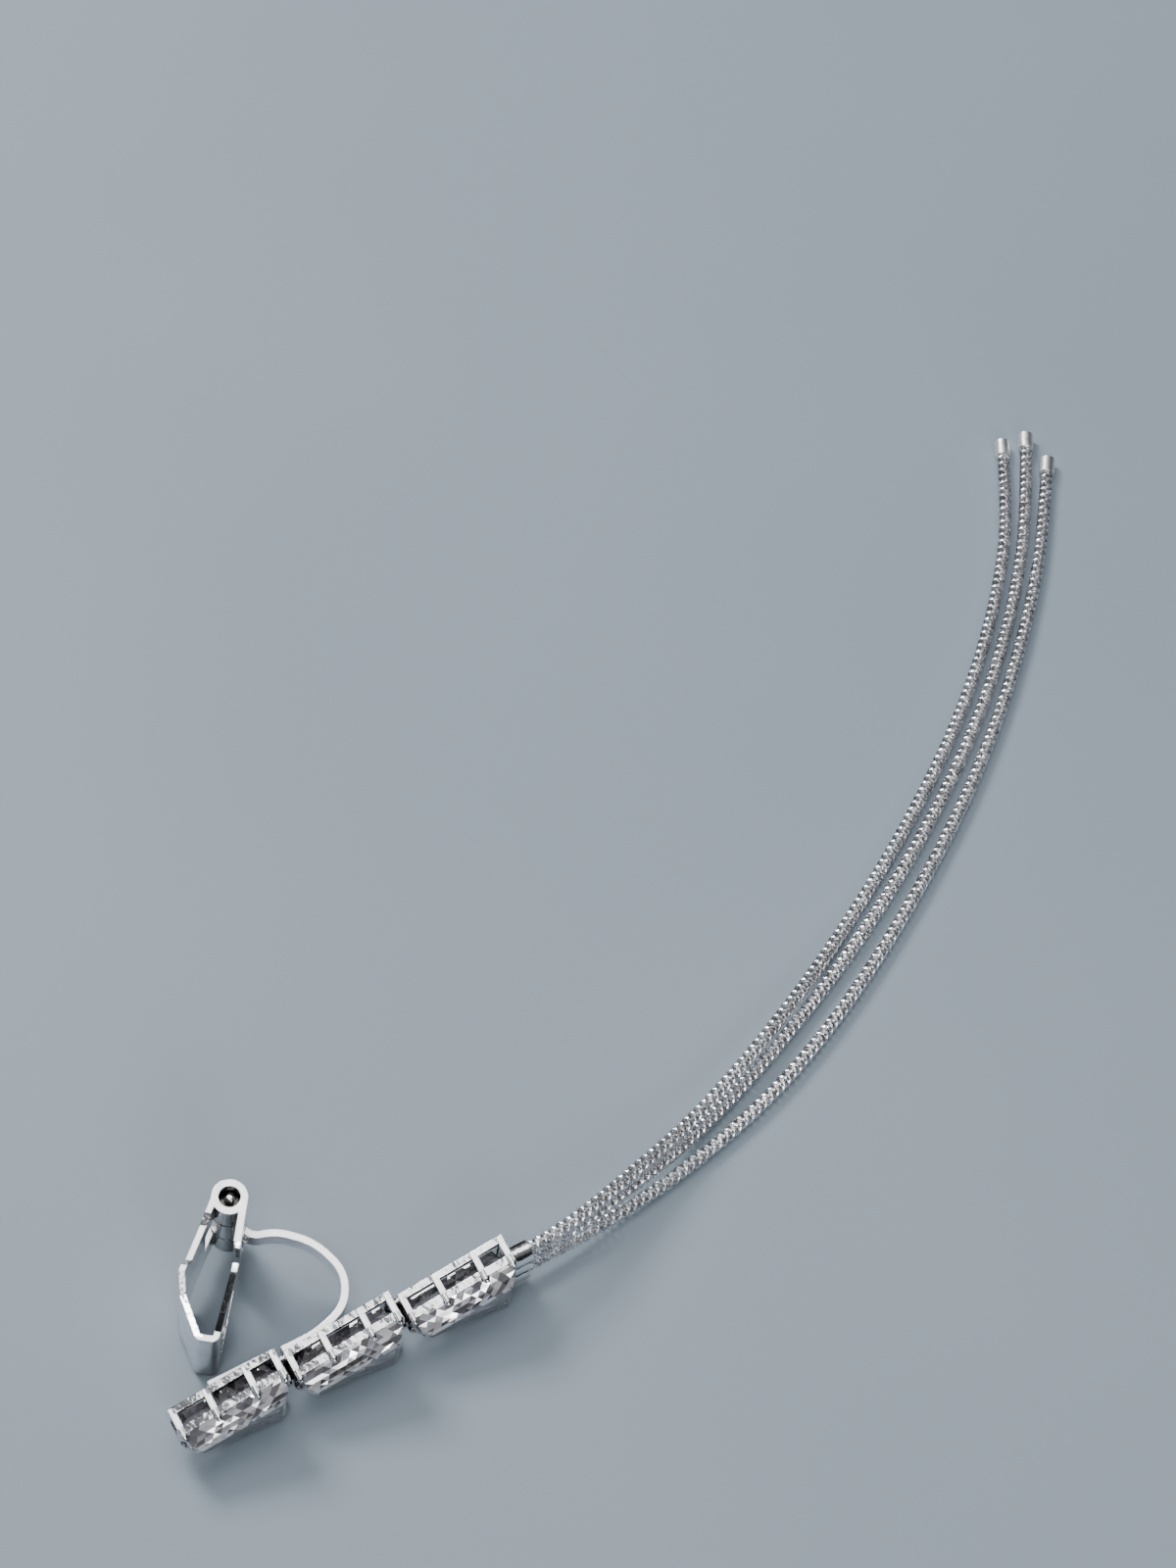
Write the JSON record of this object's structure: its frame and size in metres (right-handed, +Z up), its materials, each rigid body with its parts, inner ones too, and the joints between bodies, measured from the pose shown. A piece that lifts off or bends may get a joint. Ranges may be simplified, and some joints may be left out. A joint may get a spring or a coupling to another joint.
{
  "type": "clip on earring",
  "caption": "Long clip on earring: a row of keystone stones in open settings with a hinged clip on the back and thin round chains hanging from the end.",
  "frame": {"origin": "centre of the earring's outline on the surface it lies on", "axes": "+X along the bar from its ear-top end towards the chains, +Y from the stones' fronts towards the clip's hinge, +Z up from the surface"},
  "size_m": [0.09, 0.0446, 0.0088],
  "materials": {
    "silver": "polished rhodium plated silver",
    "chain_silver": "glittering diamond cut silver chain",
    "stone": "clear faceted stone"
  },
  "bodies": {
    "earring": {"setting_frame": "silver", "stone_1": "stone", "stone_2": "stone", "stone_3": "stone", "hinge_pin": "silver", "strand_1": "chain_silver", "strand_2": "chain_silver", "strand_3": "chain_silver", "strand_cap_1": "silver", "strand_cap_2": "silver", "strand_cap_3": "silver"},
    "paddle": {"clip_paddle": "silver"}
  },
  "joints": [
    {"name": "paddle_hinge", "type": "hinge", "parent": "earring", "child": "paddle", "pos_m": [-0.03583, -0.00949, 0.00497], "axis": [0, 0.1908, -0.9816], "range_deg": [0, 120]}
  ]
}
